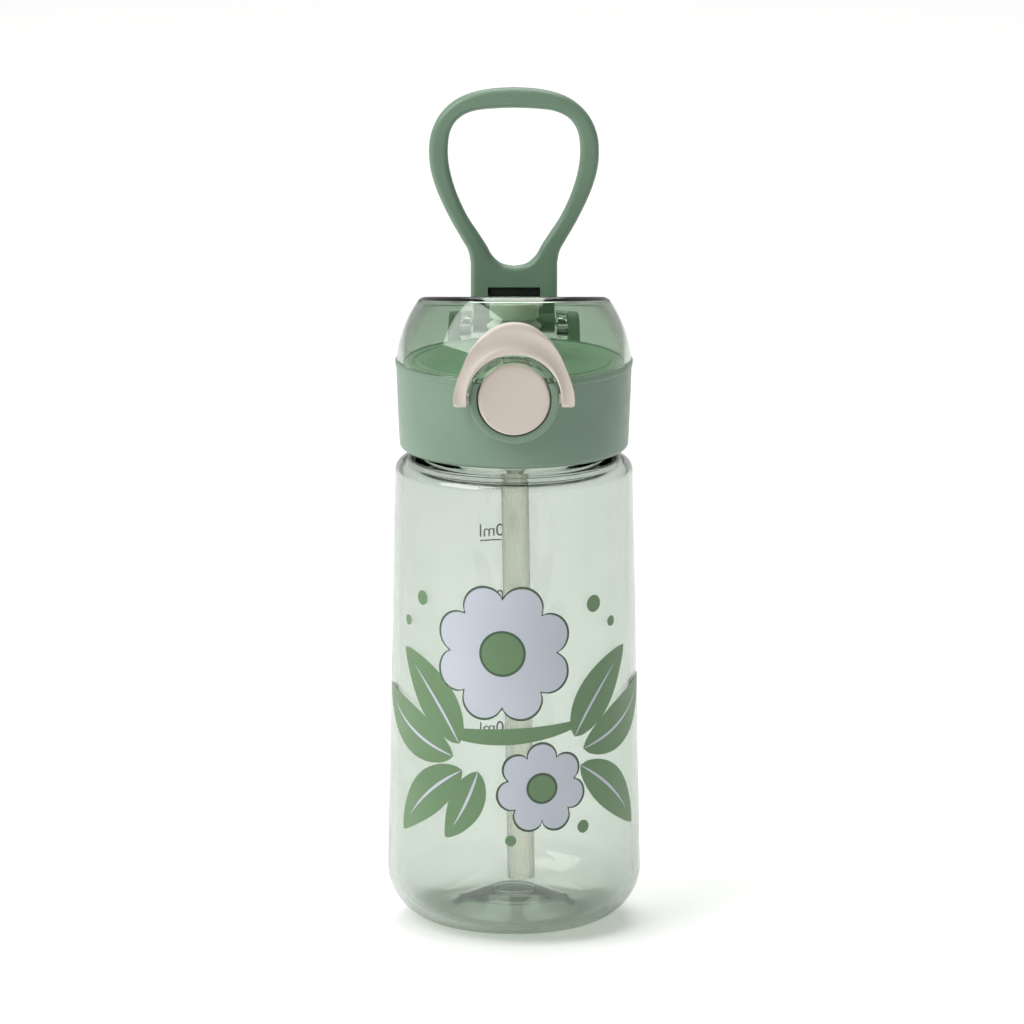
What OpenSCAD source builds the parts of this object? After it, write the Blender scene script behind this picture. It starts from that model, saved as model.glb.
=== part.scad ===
// Flip-top straw bottle for children, with a lock bail and a swing handle.
// The front is -Y, the top is +Z, and the origin is the centre of the base.

/* [Bottle] */
// Radius of the side wall just above the base corner
body_r_low = 38.7; // [38:0.1:39.5]
// Radius of the side wall just under the shoulder
body_r_top = 36; // [35.5:0.1:37]
// Height of the shoulder above the table
shoulder_z = 142.4; // [130:0.1:150]
// Thickness of the side wall
wall = 2; // [1.5:0.1:2.4]
// Radius of the corner between base and side
corner_r = 17; // [12:1:18]
// Height of the threaded neck above the shoulder
neck_h = 15; // [14.5:0.5:15]
// Rise of the thread in one turn
pitch = 4; // [3.5:0.5:4]

/* [Lid] */
// Outer radius of the lid ring at the seam
ring_r = 35.6; // [35.4:0.1:35.8]
// Height of the seam above the shoulder
seam_h = 31; // [30.8:0.1:31.2]
// Radius of the spherical dome
dome_r = 35.6; // [35.4:0.1:35.8]
// Slope of the top of the dome, down towards the back
dome_slope = 10.7; // [6:0.1:11]
// Height of the top of the dome above the seam, on the axis
dome_h = 19.1; // [18.6:0.1:20.2]
// Thickness of the dome and of the lid ring
lid_wall = 2; // [1.8:0.1:2.2]

/* [Button and lock] */
// Radius of the push button
button_r = 10.75; // [10.5:0.05:10.8]
// Radius of the collar round the button
boss_r = 13.5; // [13.3:0.1:13.6]
// Radius of the inner edge of the lock bail
bail_inner_r = 14.2; // [14.1:0.1:14.5]
// Height of the top of the lock bail above its pivot
bail_top = 23.9; // [22:0.1:24]

/* [Handle] */
// Height of the top of the handle above the table
handle_top = 250; // [248:1:254]
// Width of the band that makes the loop
band_w = 5.8; // [5:0.1:6.5]
// Thickness of the handle from front to back
handle_t = 5; // [4:0.5:5]
// Half the width of the tab that goes down to the hinge
tab_half = 13.25; // [13:0.05:13.3]

/* [Straw] */
// Outer radius of the straw
straw_r = 4.15; // [4:0.05:4.3]
// Lean of the straw from the vertical
straw_lean = 0.9; // [0.5:0.1:1.2]

/* [Hidden] */
$fn = 96;
seam_z = shoulder_z + seam_h;
mouth_z = shoulder_z + neck_h;
neck_r = 29.6;
neck_bore = 27;
thread_r = 31.2;
nut_r = 31.8;
nut_crest_r = 30.2;
thread_turns = 1.75;
ring_low_r = 34.6;
ring_inner_r = 33.3;
deck_r = 33.1;
deck_t = 2.4;
dome_mid_z = seam_z - 3;
button_z = seam_z - 5;
boss_front = 38;
boss_bore = 11.1;
tower_y = 31.6;
stem_r = 2.5;
bail_front = 41.2;
bail_back = 38;
bail_pivot_y = 35.6;
peg_r = 1.5;
hinge_y = 37.4;
hinge_z = seam_z + 5;
knuckle_r = 3.8;
pin_r = 1.3;
run = 0.05;
ear_in = 13.65;
ear_out = 17;
lug_in = 17.3;
lug_out = 21.5;
spout_y = -3;
handle_back = hinge_y + handle_t / 2;
handle_r = 50;
handle_mid = [-24.25, handle_top - 18];

// Points on an arc about c, from angle a to angle b
function arc(c, r, a, b, n = 12) =
    [for (i = [0:n]) c + r * [cos(a + (b - a) * i / n), sin(a + (b - a) * i / n)]];
// A half outline and its mirror image, as one closed outline
function both(half) =
    concat(half, [for (i = [len(half) - 1:-1:0]) [-half[i][0], half[i][1]]]);
// Faces of a tube of rings rings with sides points each
function skin(rings, sides) = concat(
    [[for (j = [0:sides - 1]) j]],
    [for (i = [0:rings - 2]) for (j = [0:sides - 1])
        [i * sides + j, (i + 1) * sides + j,
         (i + 1) * sides + (j + 1) % sides, i * sides + (j + 1) % sides]],
    [[for (j = [sides - 1:-1:0]) (rings - 1) * sides + j]]);

// Helical ridge from radius r0 to crest radius r1, centred on height z0 at its start
module ridge(r0, r1, z0, turns) {
    steps = 36 * turns;
    up = r1 < r0 ? 1 : -1;
    section = [[r0, -up], [r1, -0.45 * up], [r1, 0.45 * up], [r0, up]];
    points = [for (i = [0:steps]) for (p = section)
        let (a = 10 * i, fade = min(1, 0.05 + min(i, steps - i) / 5))
        let (r = r0 + (p[0] - r0) * fade)
        [r * cos(a), r * sin(a), z0 + pitch * a / 360 + p[1]]];
    polyhedron(points, skin(steps + 1, 4), convexity = 6);
}

// Coil of wire along +Z from z = 0, of mean radius r
module coil(r, wire_r, rise, turns) {
    steps = 16 * turns;
    points = [for (i = [0:steps]) for (j = [0:7])
        let (a = 22.5 * i, d = r + wire_r * cos(45 * j))
        [d * cos(a), d * sin(a), wire_r + rise * i / 16 + wire_r * sin(45 * j)]];
    polyhedron(points, skin(steps + 1, 8), convexity = 6);
}

// Cylinder along X from x0 to x1 through [y, z]
module rod_x(x0, x1, y, z, r) {
    translate([x0, y, z]) rotate([0, 90, 0]) cylinder(h = x1 - x0, r = r);
}

// Cylinder along Y from y0 to y1 on the button's axis
module rod_y(y0, y1, r) {
    translate([0, y1, button_z]) rotate([90, 0, 0]) cylinder(h = y1 - y0, r = r);
}

// Everything above the sloping top of the dome, lowered by drop
module above_top(drop) {
    translate([0, 0, seam_z + dome_h - drop]) rotate([-dome_slope, 0, 0])
        translate([-60, -60, 0]) cube([120, 120, 60]);
}

module bottle_body() {
    foot = body_r_low - corner_r;
    outer = concat([[0, 5.6], [8, 4.9], [14, 2.2], [18, 0]], arc([foot, corner_r], corner_r, -90, -4),
        arc([body_r_top - 3, shoulder_z - 3], 3, 0, 90, 8),
        [[neck_r + 2.4, shoulder_z], [neck_r + 2.4, shoulder_z + 1.6],
         [neck_r, shoulder_z + 2.6], [neck_r, mouth_z - 0.6], [neck_r - 0.6, mouth_z]]);
    inner = concat([[neck_bore, mouth_z]], [[neck_bore, shoulder_z]],
        arc([body_r_top - 4.5, shoulder_z - 4.5], 4.5 - wall, 80, 0, 8),
        arc([foot, corner_r], corner_r - wall, -4, -90), [[18, wall + 0.8], [12, 6.6], [0, 8.6]]);
    color([0.72, 0.80, 0.74, 0.4]) {
        rotate_extrude() polygon(concat(outer, inner));
        ridge(neck_r - 0.3, thread_r, shoulder_z + 4.5, thread_turns);
    }
}

module lid_gasket() {
    color([0.92, 0.93, 0.90]) difference() {
        translate([0, 0, mouth_z + 0.05]) cylinder(h = 1.75, r = 30);
        translate([0, 0, mouth_z - 1]) cylinder(h = 4, r = 26.6);
    }
}

// Outer ring, open at the front for the button collar, with two hinge lugs at the back
module lid_ring() {
    low = shoulder_z + 4;
    color([0.47, 0.60, 0.50]) difference() {
        union() {
            difference() {
                rotate_extrude() polygon(concat(arc([ring_low_r - 1.5, low + 1.5], 1.5, -90, 0, 4),
                    [[ring_r, seam_z - 1.6], [ring_r + 0.3, seam_z - 1.2], [ring_r + 0.3, seam_z],
                     [ring_inner_r, seam_z], [ring_inner_r, seam_z - deck_t - 0.2],
                     [ring_inner_r - 1.3, seam_z - deck_t - 0.2], [ring_inner_r - 1.3, seam_z - 4.6],
                     [ring_inner_r, seam_z - 7], [ring_inner_r, low]]));
                rod_y(-boss_front - 1, -25, boss_r);
            }
            for (x = [-lug_out, lug_in]) {
                rod_x(x, x + lug_out - lug_in, hinge_y, hinge_z, knuckle_r);
                translate([x, 0, 0]) rotate([90, 0, 90])
                    linear_extrude(lug_out - lug_in)
                        polygon([[27.8, seam_z - 3], [31.9, seam_z - 0.6],
                            [hinge_y - 3.6, hinge_z + 1.2], [hinge_y + knuckle_r, hinge_z],
                            [hinge_y + knuckle_r, seam_z + 1], [29, seam_z - 14]]);
            }
        }
        rod_x(-lug_out - 1, lug_out + 1, hinge_y, hinge_z, pin_r + run);
    }
}

// Round housing of the button, welded into the ring, with the wall behind the button
module button_collar() {
    color([0.47, 0.60, 0.50]) difference() {
        union() {
            difference() {
                rod_y(-boss_front, 1 - tower_y, boss_r);
                translate([-30, -60, seam_z]) cube([60, 60, 20]);
            }
            difference() {
                rod_y(-tower_y, 1.8 - tower_y, 10.2);
                translate([-30, -60, seam_z - 20]) cube([60, 60, 18]);
            }
        }
        rod_y(-boss_front - 1, -tower_y, boss_bore);
        rod_y(-tower_y - 1, 5 - tower_y, stem_r + run);
        rod_x(-15, 15, -bail_pivot_y, button_z, peg_r + run);
    }
}

// Threaded liner with the plate that closes the neck
module inner_lid() {
    low = shoulder_z + 4.3;
    color([0.80, 0.85, 0.80]) {
        difference() {
            translate([0, 0, low]) cylinder(h = mouth_z + 4.2 - low, r = 33);
            translate([0, 0, low - 1]) cylinder(h = mouth_z + 1.9 - low + 1, r = nut_r);
            translate([0, spout_y, mouth_z - 5]) cylinder(h = 20, r = 6.1);
            rod_y(-40, -29, boss_r + run);
        }
        difference() {
            translate([0, 0, mouth_z - 5]) cylinder(h = 7, r = 26.4);
            translate([0, 0, mouth_z - 6]) cylinder(h = 9, r = 24.4);
        }
        ridge(nut_r + 0.3, nut_crest_r, shoulder_z + 6.5, 1.5);
    }
}

// Plate that closes the top of the lid round the spout
module deck_plate() {
    color([0.47, 0.60, 0.50]) difference() {
        union() {
            translate([0, 0, seam_z - deck_t]) cylinder(h = deck_t, r = deck_r);
            translate([0, spout_y, seam_z - 0.1]) cylinder(h = 1.7, r = 11);
        }
        translate([0, spout_y, seam_z - 10]) cylinder(h = 20, r = 6.1);
        translate([0, 14, seam_z - 10]) cylinder(h = 20, r = 1.6);
        translate([-4, -26.9, seam_z - 10]) cube([8, 6, 20]);
        translate([-14, -40, seam_z - 10]) cube([28, 40 + 2 - tower_y + 0.3, 20]);
    }
}

// Soft mouthpiece, oval across the lips, with a slit tip
module spout() {
    color([0.88, 0.90, 0.86]) translate([0, spout_y, 0]) difference() {
        union() {
            translate([0, 0, seam_z - 3]) cylinder(h = 6, r = 5.9);
            translate([0, 0, seam_z + 1.8]) cylinder(h = 1.6, r = 8.4);
            intersection() {
                translate([0, 0, seam_z + 3.2]) cylinder(h = 9.6, r1 = 8, r2 = 6.6);
                translate([-9, -4.6, seam_z]) cube([18, 9.2, 20]);
            }
        }
        translate([0, 0, seam_z - 4]) cylinder(h = 14, r = 3.4);
        translate([0, 0, seam_z - 4]) cylinder(h = 20, r = 1.4);
    }
}

// Rigid ring that holds the mouthpiece down on the deck
module spout_collar() {
    color([0.47, 0.60, 0.50]) translate([0, spout_y, seam_z + 1.7]) difference() {
        cylinder(h = 2.6, r = 10.6);
        translate([0, 0, -1]) cylinder(h = 3, r = 8.6);
        translate([0, 0, 1]) cylinder(h = 3, r = 8.2);
    }
}

// Stub under the mouthpiece that the straw pushes onto
module straw_connector() {
    color([0.90, 0.92, 0.90]) translate([0, spout_y, 0]) difference() {
        union() {
            translate([0, 0, mouth_z + 4.4]) cylinder(h = seam_z - mouth_z - 7.6, r = 9);
            translate([0, 0, mouth_z - 3]) cylinder(h = 8, r = 5.9);
            translate([0, 0, mouth_z - 12]) cylinder(h = 10, r = 3);
        }
        translate([0, 0, mouth_z - 13]) cylinder(h = 40, r = 2.2);
        translate([0, 0, mouth_z + 3]) rotate_extrude() translate([5.9, 0]) circle(r = 0.8, $fn = 24);
    }
}

module connector_oring() {
    color([0.25, 0.27, 0.26]) translate([0, spout_y, mouth_z + 3])
        rotate_extrude() translate([5.6, 0]) circle(r = 0.45, $fn = 24);
}

module straw() {
    top = mouth_z - 4;
    color([0.93, 0.94, 0.92]) translate([0, spout_y, top]) rotate([0, -straw_lean, 0]) difference() {
        translate([0, 0, 12.8 - top]) cylinder(h = top - 12.8, r = straw_r);
        translate([0, 0, -top]) cylinder(h = top + 1, r = straw_r - 0.95);
    }
}

// Silicone umbrella valve that lets air in as the child drinks
module vent_valve() {
    color([0.92, 0.93, 0.90]) translate([0, 14, seam_z]) {
        cylinder(h = 1, r = 3);
        translate([0, 0, 0.5]) cylinder(h = 1, r = 2);
        translate([0, 0, -4]) cylinder(h = 4.5, r = 1.5);
    }
}

// Clear flip-up dome with the half collar over the button and two hinge ears
module dome_cover() {
    edge = seam_z + 0.15;
    back = 32.8;
    color([0.55, 0.68, 0.58, 0.45]) difference() {
        union() {
            difference() {
                translate([0, 0, dome_mid_z]) sphere(r = dome_r);
                above_top(0);
                translate([-60, back, 0]) cube([120, 60, 300]);
            }
            rod_y(0.6 - boss_front, -28, boss_r + 0.1);
            for (x = [-ear_out, ear_in]) {
                rod_x(x, x + ear_out - ear_in, hinge_y, hinge_z, knuckle_r);
                translate([x, 26, edge + 1]) cube([ear_out - ear_in, hinge_y - 26, 5]);
            }
        }
        difference() {
            translate([0, 0, dome_mid_z]) sphere(r = dome_r - lid_wall);
            above_top(lid_wall);
            translate([-60, back - lid_wall, 0]) cube([120, 60, 300]);
            translate([-3.5, -28.6, seam_z + 1]) cube([7, 1.8, 30]);
        }
        rod_y(-boss_front - 1, -28.6, boss_bore + 0.5);
        translate([-60, -60, 0]) cube([120, 120, edge]);
        rod_x(-25, 25, hinge_y, hinge_z, pin_r + run);
    }
}

// Soft pad in the roof of the dome that presses on the mouthpiece
module dome_seal_pad() {
    color([0.92, 0.93, 0.90]) difference() {
        translate([0, spout_y, seam_z + 13.2]) cylinder(h = 8, r = 7.4);
        above_top(lid_wall + 0.05);
    }
}

module hinge_pin() {
    color([0.75, 0.76, 0.78]) rod_x(-lug_out, lug_out, hinge_y, hinge_z, pin_r);
}

module hinge_spring() {
    color([0.70, 0.71, 0.73]) translate([-5, hinge_y, hinge_z]) rotate([0, 90, 0])
        coil(2.3, 0.4, 1.05, 9);
}

// Loop handle: outlines drawn in the XZ plane and extruded from front to back
module handle() {
    inner_r = handle_r - band_w;
    bowl_z = handle_top - 45.9;
    outer = both(concat([[0, handle_top]], arc([0, handle_top - 90], 90, 84, 80, 2),
        arc([11.6, handle_top - 14.2], 14.1, 70, 8, 8), arc(handle_mid, handle_r, 0, -35.5, 10),
        [[tab_half + 0.6, handle_top - 49], [tab_half, handle_top - 51.5], [tab_half, hinge_z]]));
    inner = both(concat([[0, handle_top - band_w]], [[8, handle_top - band_w - 0.3]],
        arc([11.6, handle_top - 14.2], 8.3, 80, 8, 8), arc(handle_mid, inner_r, 0, -41, 10),
        arc([0, bowl_z], 8.5, -20, -90, 8)));
    color([0.47, 0.60, 0.50]) difference() {
        union() {
            translate([0, handle_back, 0]) rotate([90, 0, 0]) linear_extrude(handle_t)
                difference() {
                    polygon(outer);
                    polygon(inner);
                }
            rod_x(-tab_half, tab_half, hinge_y, hinge_z, knuckle_r);
        }
        translate([-7.5, hinge_y - 10, hinge_z - 10]) cube([15, 20, 15]);
        translate([-8, handle_back - handle_t - 1, hinge_z + 7.2]) cube([16, 4, 3]);
        rod_x(-25, 25, hinge_y, hinge_z, pin_r + run);
    }
}

module handle_pad() {
    color([0.12, 0.13, 0.12])
        translate([-8, handle_back - handle_t + 1, hinge_z + 7.2]) cube([16, 2, 3]);
}

module button_cap() {
    face = boss_front + 0.6;
    color([0.87, 0.84, 0.78]) {
        difference() {
            union() {
                rod_y(0.8 - face, 3.6 - face, button_r);
                rod_y(-face, 1 - face, button_r - 0.7);
            }
            rod_y(2 - face, 5 - face, button_r - 1.6);
        }
        rod_y(1 - face, -26.7, stem_r);
    }
}

// Slider behind the button: its finger holds the dome's tongue
module latch_slider() {
    color([0.90, 0.91, 0.89]) {
        difference() {
            translate([-6, -29.2, button_z - 5]) cube([12, 6, 7.4]);
            rod_y(-40, -26.6, stem_r + run);
        }
        translate([-3.4, -26.4, button_z + 2]) cube([6.8, 2.2, 8.4]);
    }
}

module button_spring() {
    color([0.70, 0.71, 0.73]) translate([0, -tower_y - 0.1, button_z]) rotate([90, 0, 0])
        coil(4.2, 0.35, 1.05, 3.5);
}

// Cream arch that swings up over the button's collar
module lock_bail() {
    outer = both(concat(arc([0, bail_top - 12.5], 12.5, 90, 50, 6), [[11.4, 17.9], [14.1, 13.3], [16.3, 8]],
        [[17.8, 3], [18.2, 0], [18.1, -2]]));
    inner = both(arc([0, 0], bail_inner_r, 90, -8, 24));
    color([0.87, 0.84, 0.78]) {
        difference() {
            translate([0, -bail_back, button_z]) rotate([90, 0, 0])
                linear_extrude(bail_front - bail_back) difference() {
                    polygon(outer);
                    polygon(inner);
                    translate([-bail_inner_r + 0.1, -5]) square([2 * bail_inner_r - 0.2, 5]);
                }
            translate([-20, -bail_back, button_z - 2.6]) rotate([-35, 0, 0])
                translate([0, -20, -10]) cube([40, 20, 10]);
        }
        for (side = [0, 1]) mirror([side, 0, 0]) {
            rod_x(bail_inner_r, 18, -bail_pivot_y, button_z, 2);
            translate([bail_inner_r, -bail_back - 1, button_z - 2]) cube([3.8, 3.4, 4]);
            rod_x(11.8, bail_inner_r + 0.5, -bail_pivot_y, button_z, peg_r);
        }
    }
}

bottle_body();
lid_gasket();
lid_ring();
button_collar();
inner_lid();
deck_plate();
spout();
spout_collar();
straw_connector();
connector_oring();
straw();
vent_valve();
dome_cover();
dome_seal_pad();
hinge_pin();
hinge_spring();
handle();
handle_pad();
button_cap();
latch_slider();
button_spring();
lock_bail();
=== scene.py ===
import bpy
import bmesh
import math
from mathutils import Matrix, Vector


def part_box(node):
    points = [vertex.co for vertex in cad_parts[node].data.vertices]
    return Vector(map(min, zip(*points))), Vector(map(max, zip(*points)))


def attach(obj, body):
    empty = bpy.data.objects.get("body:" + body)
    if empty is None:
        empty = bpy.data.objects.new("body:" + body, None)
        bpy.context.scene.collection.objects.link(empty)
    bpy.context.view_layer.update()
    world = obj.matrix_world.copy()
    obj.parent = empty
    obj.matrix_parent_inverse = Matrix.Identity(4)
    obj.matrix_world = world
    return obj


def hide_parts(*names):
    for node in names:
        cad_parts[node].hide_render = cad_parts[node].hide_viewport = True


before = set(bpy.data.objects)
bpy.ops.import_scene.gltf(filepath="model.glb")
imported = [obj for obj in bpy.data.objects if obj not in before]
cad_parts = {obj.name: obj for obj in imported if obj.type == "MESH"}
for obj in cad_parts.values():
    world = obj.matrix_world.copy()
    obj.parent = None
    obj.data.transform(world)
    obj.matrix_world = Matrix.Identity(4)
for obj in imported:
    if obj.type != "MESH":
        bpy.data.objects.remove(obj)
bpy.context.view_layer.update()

mm = 0.001


# shapes are drawn in millimetres and scaled once, when the piece is finished
def boxMm(node):
    low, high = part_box(node)
    return Vector(low) / mm, Vector(high) / mm


def arc(cx, cy, r, start, end, steps=8):
    turns = [math.radians(start + (end - start) * i / steps) for i in range(steps + 1)]
    return [(cx + r * math.cos(t), cy + r * math.sin(t)) for t in turns]


def smoothLine(points, steps=6):
    # a soft curve through a few key points
    result = []
    ends = [points[0]] + points + [points[-1]]
    for a, b, c, d in zip(ends, ends[1:], ends[2:], ends[3:]):
        for i in range(steps):
            t = i / steps
            result.append(tuple(0.5 * (2 * q + (r - p) * t + (2 * p - 5 * q + 4 * r - s) * t * t
                                       + (3 * q - p - 3 * r + s) * t ** 3) for p, q, r, s in zip(a, b, c, d)))
    return result + [points[-1]]


def bothSides(half):
    return half + [(-x, z) for x, z in reversed(half)]


def spun(points, steps=128, closed=True):
    # an (r, z) outline turned about Z
    bm = bmesh.new()
    verts = [bm.verts.new((r, 0, z)) for r, z in points]
    pairs = list(zip(verts, verts[1:])) + ([(verts[-1], verts[0])] if closed else [])
    edges = [bm.edges.new(pair) for pair in pairs]
    bmesh.ops.spin(bm, geom=verts + edges, cent=(0, 0, 0), axis=(0, 0, 1), angle=2 * math.pi,
                   steps=steps, use_merge=True, use_duplicate=False)
    bmesh.ops.remove_doubles(bm, verts=bm.verts, dist=1e-4)
    bmesh.ops.recalc_face_normals(bm, faces=bm.faces)
    return bm


def coil(r, wire, pitch, turns, sides=10, perTurn=28):
    # a wire ring carried round and along Z
    bm = bmesh.new()
    bmesh.ops.create_circle(bm, segments=sides, radius=wire)
    bmesh.ops.rotate(bm, verts=bm.verts, cent=(0, 0, 0), matrix=Matrix.Rotation(math.pi / 2, 3, "X"))
    bmesh.ops.translate(bm, verts=bm.verts, vec=(r, 0, wire))
    steps = int(perTurn * turns)
    bmesh.ops.spin(bm, geom=bm.verts[:] + bm.edges[:], cent=(0, 0, 0), axis=(0, 0, 1),
                   angle=2 * math.pi * turns, steps=steps, dvec=(0, 0, pitch * turns / steps))
    bmesh.ops.holes_fill(bm, edges=[e for e in bm.edges if e.is_boundary])
    bmesh.ops.recalc_face_normals(bm, faces=bm.faces)
    return bm


def moved(bm, shift):
    bmesh.ops.translate(bm, verts=bm.verts, vec=shift)
    return bm


def turned(bm, angle, axis, shift=(0, 0, 0)):
    bmesh.ops.rotate(bm, verts=bm.verts, cent=(0, 0, 0), matrix=Matrix.Rotation(math.radians(angle), 3, axis))
    return moved(bm, shift)


def block(low, high, rounding=0.0, segments=3):
    bm = bmesh.new()
    bmesh.ops.create_cube(bm, size=1)
    low, high = Vector(low), Vector(high)
    bmesh.ops.scale(bm, verts=bm.verts, vec=high - low)
    bmesh.ops.translate(bm, verts=bm.verts, vec=(low + high) / 2)
    if rounding:
        bmesh.ops.bevel(bm, geom=bm.edges, offset=rounding, segments=segments, affect="EDGES", profile=0.5,
                        material=-1, clamp_overlap=True)
    return bm


def drum(r, length, rounding=0.0, steps=64):
    # a solid cylinder from z = 0 to z = length with rounded rims
    corner = rounding or 0.01
    outline = [(0, 0)] + arc(r - corner, corner, corner, -90, 0, 4)
    outline += arc(r - corner, length - corner, corner, 0, 90, 4) + [(0, length)]
    return spun(outline, steps, closed=False)


def alongX(bm, x, y, z):
    return turned(bm, 90, "Y", (x, y, z))


def asObject(bm, name):
    mesh = bpy.data.meshes.new(name)
    bm.to_mesh(mesh)
    bm.free()
    thing = bpy.data.objects.new(name, mesh)
    bpy.context.scene.collection.objects.link(thing)
    return thing


def plate(name, outlines, thickness, rounding, segments=4):
    # flat outlines, holes included, as a solid with rounded rims; it lies in XY
    curve = bpy.data.curves.new(name, "CURVE")
    curve.dimensions, curve.fill_mode = "2D", "BOTH"
    curve.extrude = thickness / 2 - rounding
    curve.bevel_depth, curve.bevel_resolution, curve.offset = rounding, segments, -rounding
    for outline in outlines:
        spline = curve.splines.new("POLY")
        spline.points.add(len(outline) - 1)
        for point, (x, y) in zip(spline.points, outline):
            point.co = (x, y, 0, 1)
        spline.use_cyclic_u = True
    return meshOf(name, curve)


def meshOf(name, curve):
    # a curve or text made into a clean mesh
    holder = bpy.data.objects.new(name + "Curve", curve)
    bpy.context.scene.collection.objects.link(holder)
    graph = bpy.context.evaluated_depsgraph_get()
    mesh = bpy.data.meshes.new_from_object(holder.evaluated_get(graph))
    bpy.data.objects.remove(holder)
    bm = bmesh.new()
    bm.from_mesh(mesh)
    bpy.data.meshes.remove(mesh)
    bmesh.ops.remove_doubles(bm, verts=bm.verts, dist=2e-3)
    bmesh.ops.dissolve_degenerate(bm, edges=bm.edges, dist=1e-3)
    bmesh.ops.recalc_face_normals(bm, faces=bm.faces)
    return bm


def loose(thing):
    # a helper object's mesh, taken back so that it can be joined to a piece
    bm = bmesh.new()
    bm.from_mesh(thing.data)
    bpy.data.objects.remove(thing)
    return bm


def cut(thing, bm, operation="DIFFERENCE"):
    # one boolean, applied at once
    tool = asObject(bm, "tool")
    step = thing.modifiers.new("cut", "BOOLEAN")
    step.operation, step.solver, step.object = operation, "EXACT", tool
    graph = bpy.context.evaluated_depsgraph_get()
    result = bpy.data.meshes.new_from_object(thing.evaluated_get(graph))
    thing.modifiers.clear()
    thing.data = result
    bpy.data.objects.remove(tool)
    return thing


def join(thing, bm):
    return cut(thing, bm, "UNION")


def finish(thing, material, body, nodes=(), sharp=38):
    # merge, mark the sharp edges, scale to metres and hang the piece on its body
    bm = bmesh.new()
    bm.from_mesh(thing.data)
    bmesh.ops.remove_doubles(bm, verts=bm.verts, dist=5e-4)
    bmesh.ops.scale(bm, verts=bm.verts, vec=(mm, mm, mm))
    for edge in bm.edges:
        edge.smooth = len(edge.link_faces) == 2 and edge.calc_face_angle(0) < math.radians(sharp)
    for face in bm.faces:
        face.smooth = True
    bm.to_mesh(thing.data)
    bm.free()
    thing.data.materials.clear()
    thing.data.materials.append(material)
    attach(thing, body)
    if nodes:
        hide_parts(*nodes)
    return thing


# places that the whole object shares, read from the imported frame
buttonLow, buttonHigh = boxMm("button_cap")
pinLow, pinHigh = boxMm("hinge_pin")

mouthZ = boxMm("bottle_body")[1].z
shoulderZ = mouthZ - 15
buttonZ = (buttonLow.z + buttonHigh.z) / 2
seamZ = buttonZ + 5  # the dome's rim meets the ring here
hingeY = (pinLow.y + pinHigh.y) / 2
hingeZ = (pinLow.z + pinHigh.z) / 2
spoutY, ventY = -3, 14
pinBore = 1.35

print("frame read: shoulder", round(shoulderZ, 2), "seam", round(seamZ, 2), "hinge", round(hingeY, 2))


def linear(code):
    # an sRGB hex colour as linear light
    parts = [int(code[i:i + 2], 16) / 255 for i in (1, 3, 5)]
    return [c / 12.92 if c <= 0.04045 else ((c + 0.055) / 1.055) ** 2.4 for c in parts] + [1]


def addNode(tree, kind, output, inputs=None, **settings):
    # a node with its settings, values and links; gives back the output that is used
    node = tree.nodes.new(kind)
    for key, value in settings.items():
        setattr(node, key, value)
    for key, value in (inputs or {}).items():
        if isinstance(value, bpy.types.NodeSocket):
            tree.links.new(value, node.inputs[key])
        else:
            node.inputs[key].default_value = value
    return node.outputs[output]


def startMaterial(name, **shader):
    material = bpy.data.materials.new(name)
    material.use_nodes = True
    tree = material.node_tree
    surface = tree.nodes["Principled BSDF"]
    for key, value in shader.items():
        surface.inputs[key.replace("_", " ")].default_value = value
    place = addNode(tree, "ShaderNodeTexCoord", "Object")
    return material, tree, surface, place


def link(tree, surface, **sockets):
    for key, value in sockets.items():
        tree.links.new(value, surface.inputs[key.replace("_", " ")])


def mouldedPlastic(name, light, dark, rough, grainMm, grainDepth, ior=1.49):
    # injection-moulded opaque plastic: spark-eroded tool grain, faint flow shading, uneven gloss
    material, tree, surface, place = startMaterial(name, IOR=ior)
    flow = addNode(tree, "ShaderNodeTexNoise", "Fac", {"Vector": place, "Scale": 1 / (28 * mm),
                                                       "Detail": 2})
    fine = addNode(tree, "ShaderNodeTexNoise", "Fac", {"Vector": place, "Scale": 1 / (grainMm * mm),
                                                       "Detail": 4, "Roughness": 0.6})
    gloss = addNode(tree, "ShaderNodeTexNoise", "Fac", {"Vector": place, "Scale": 1 / (5 * mm),
                                                        "Detail": 3})
    shade = addNode(tree, "ShaderNodeMapRange", "Result", {"Value": flow, "From Min": 0.3, "From Max": 0.7})
    colour = addNode(tree, "ShaderNodeMix", 2, {"Factor": shade, 6: linear(light), 7: linear(dark)},
                     data_type="RGBA")
    gloss = addNode(tree, "ShaderNodeMapRange", "Result", {"Value": gloss, "From Min": 0.3, "From Max": 0.7,
                                                           "To Min": rough - 0.04, "To Max": rough + 0.05})
    waves = addNode(tree, "ShaderNodeBump", "Normal", {"Height": flow, "Distance": 0.05 * mm,
                                                       "Strength": 0.3})
    relief = addNode(tree, "ShaderNodeBump", "Normal", {"Height": fine, "Distance": grainDepth * mm,
                                                        "Strength": 0.5, "Normal": waves})
    link(tree, surface, Base_Color=colour, Roughness=gloss, Normal=relief)
    return material


def letLampsThrough(tree, surface, code):
    # rays from the lamps pass a clear wall with its tint, so what is inside is lit
    ray = addNode(tree, "ShaderNodeLightPath", "Is Shadow Ray")
    clear = addNode(tree, "ShaderNodeBsdfTransparent", "BSDF", {"Color": linear(code)})
    mix = addNode(tree, "ShaderNodeMixShader", "Shader", {0: ray, 1: surface.outputs["BSDF"], 2: clear})
    tree.links.new(mix, tree.nodes["Material Output"].inputs["Surface"])


def tintThrough(tree, code, perMetre):
    # colour that deepens with the length of plastic that is looked through
    depth = addNode(tree, "ShaderNodeVolumeAbsorption", "Volume", {"Color": linear(code),
                                                                   "Density": perMetre})
    tree.links.new(depth, tree.nodes["Material Output"].inputs["Volume"])


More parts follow.
